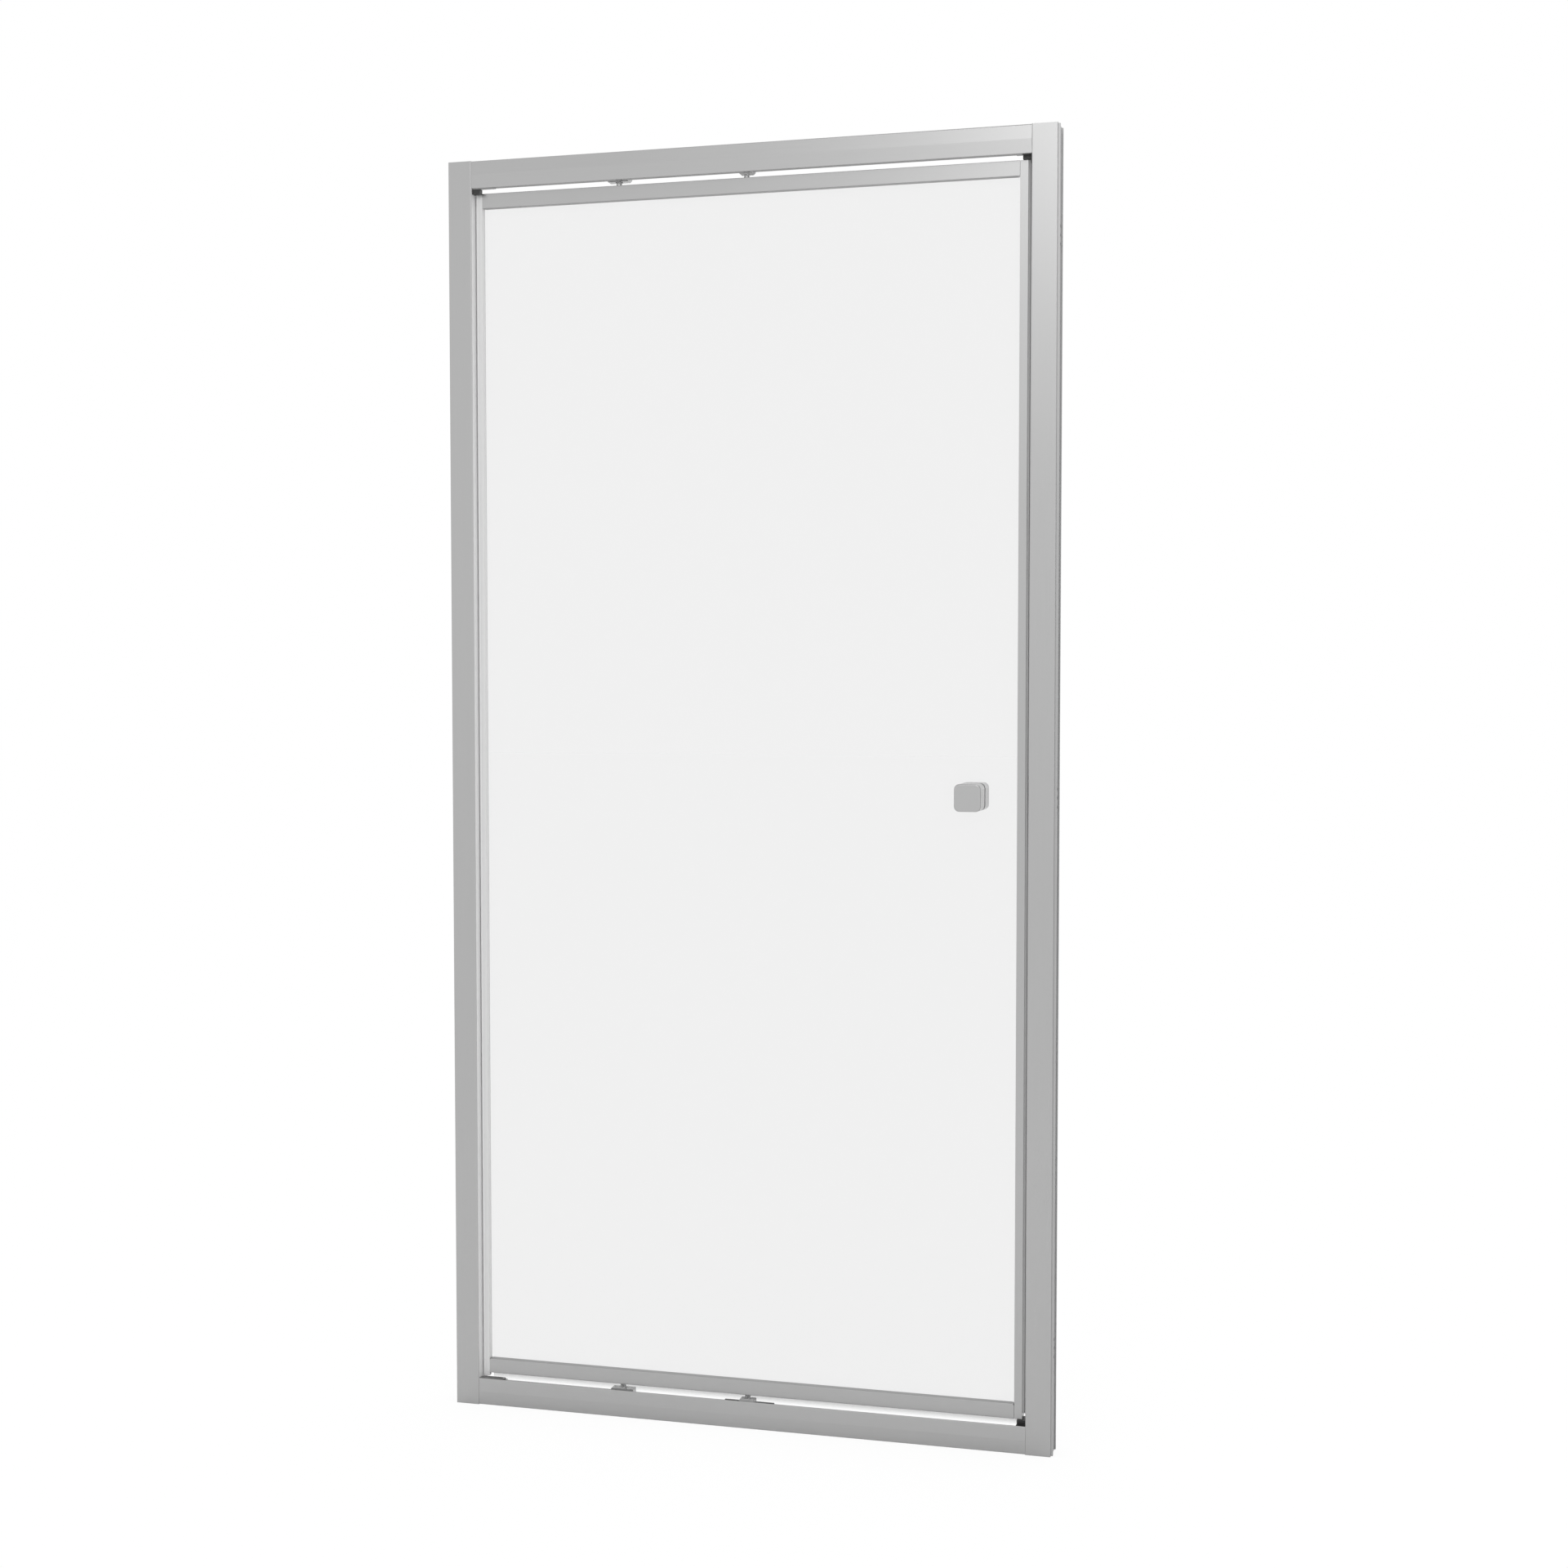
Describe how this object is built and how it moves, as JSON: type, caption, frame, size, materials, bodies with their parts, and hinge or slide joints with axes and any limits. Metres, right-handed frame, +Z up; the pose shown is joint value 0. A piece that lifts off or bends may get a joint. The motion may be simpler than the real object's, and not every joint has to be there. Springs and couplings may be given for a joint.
{
  "type": "infold shower door",
  "caption": "Framed infold shower door: a glazed leaf turns on pivot arms and slides along head and sill tracks between slotted wall channels, with square knobs.",
  "frame": {"origin": "centre of the width and of the jambs' depth, on the floor plane under the sill rail", "axes": "+X towards the lock side, +Y into the shower, +Z up; the outside of the door faces -Y"},
  "size_m": [0.953, 0.075, 1.955],
  "materials": {
    "frame_metal": "satin anodised",
    "channel_metal": "mill",
    "leaf_metal": "satin anodised",
    "arm_metal": "satin",
    "pin_steel": "polished",
    "screw_steel": "plain",
    "knob_metal": "satin",
    "glass": "clear",
    "clear_seal": "clear",
    "grey_seal": "satin",
    "gasket": "matt",
    "magnet": "matt",
    "bearing_plastic": "satin",
    "grey_plastic": "satin",
    "dark_plastic": "satin",
    "black_plastic": "satin"
  },
  "bodies": {
    "frame": {"jamb_hinge": "frame_metal", "jamb_lock": "frame_metal", "wall_channel_hinge": "channel_metal", "wall_channel_lock": "channel_metal", "head_rail": "frame_metal", "sill_rail": "frame_metal", "frame_corner_screws": "screw_steel", "jamb_fixing_screws": "screw_steel", "screw_covers": "grey_plastic", "pivot_bracket_bottom": "dark_plastic", "pivot_bracket_top": "dark_plastic", "bracket_screws": "screw_steel", "arm_pivot_pins": "pin_steel", "jamb_magnet_strip": "grey_seal", "jamb_magnet": "magnet", "corner_block_lock_bottom": "black_plastic", "corner_block_lock_top": "black_plastic", "corner_block_hinge_top": "black_plastic", "corner_block_hinge_bottom": "dark_plastic", "head_corner_plates": "grey_plastic", "closing_keeper": "dark_plastic"},
    "arms": {"arm_bottom": "arm_metal", "arm_top": "arm_metal", "arm_bushes": "bearing_plastic"},
    "leaf": {"leaf_bottom_rail": "leaf_metal", "leaf_top_rail": "leaf_metal", "leaf_stile_hinge": "leaf_metal", "leaf_stile_lock": "leaf_metal", "leaf_corner_keys": "black_plastic", "leaf_corner_screws": "screw_steel", "pin_blocks": "arm_metal", "arm_pins": "pin_steel", "slider_pins": "pin_steel", "glass_pane": "glass", "glazing_gasket": "gasket", "wiper_seal": "clear_seal", "hinge_seal": "clear_seal", "leaf_magnet_strip": "grey_seal", "leaf_magnet": "magnet", "knob_outer": "knob_metal", "knob_inner": "knob_metal", "knob_washers": "gasket", "knob_stud": "screw_steel", "knob_sleeve": "bearing_plastic"},
    "sliders": {"slider_bottom": "bearing_plastic", "slider_top": "bearing_plastic"}
  },
  "joints": [
    {"name": "arm_turn", "type": "hinge", "parent": "frame", "child": "arms", "pos_m": [-0.4055, 0.0045, 0.9775], "axis": [0, 0, 1], "range_deg": [0, 85]},
    {"name": "leaf_turn", "type": "hinge", "parent": "arms", "child": "leaf", "pos_m": [-0.202, 0.0045, 0.9775], "axis": [0, 0, 1], "range_deg": [-170, 0]},
    {"name": "slider_turn", "type": "hinge", "parent": "leaf", "child": "sliders", "pos_m": [0.0015, 0.0045, 0.9775], "axis": [0, 0, 1], "range_deg": [0, 85]}
  ],
  "couplings": [
    {"joint": "leaf_turn", "follows": "arm_turn", "ratio": -2},
    {"joint": "slider_turn", "follows": "arm_turn", "ratio": 1}
  ]
}
